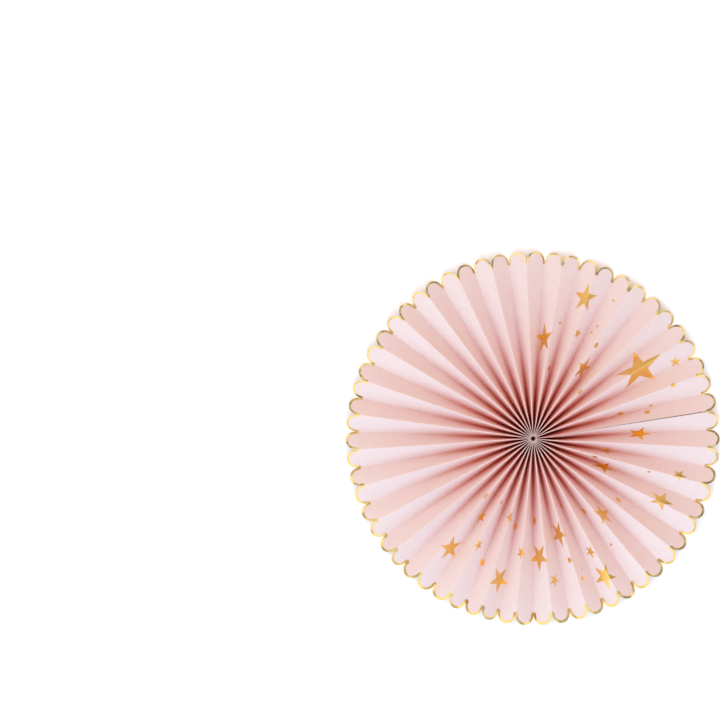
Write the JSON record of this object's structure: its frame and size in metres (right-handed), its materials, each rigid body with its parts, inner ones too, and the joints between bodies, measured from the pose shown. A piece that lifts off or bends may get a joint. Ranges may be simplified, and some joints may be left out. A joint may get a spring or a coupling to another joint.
{
  "type": "paper fan rosette",
  "caption": "Round pleated card rosette with a scalloped rim, thread-gathered hub and printed foil stars, for hanging flat on a wall or lying on a table.",
  "frame": {"origin": "middle of the hub, on the plane of the back folds", "axes": "+Z along the rosette's axis out of its printed face, +X to the right of the face, +Y up the face"},
  "size_m": [0.4064, 0.4062, 0.0227],
  "materials": {
    "blush_card": "matte",
    "gold_foil": "satin",
    "clear_tape": "satin",
    "cotton_thread": "matte"
  },
  "bodies": {
    "root": {"pleated_sheet": "blush_card", "seam_tape": "clear_tape", "binding_thread": "cotton_thread"}
  },
  "joints": []
}
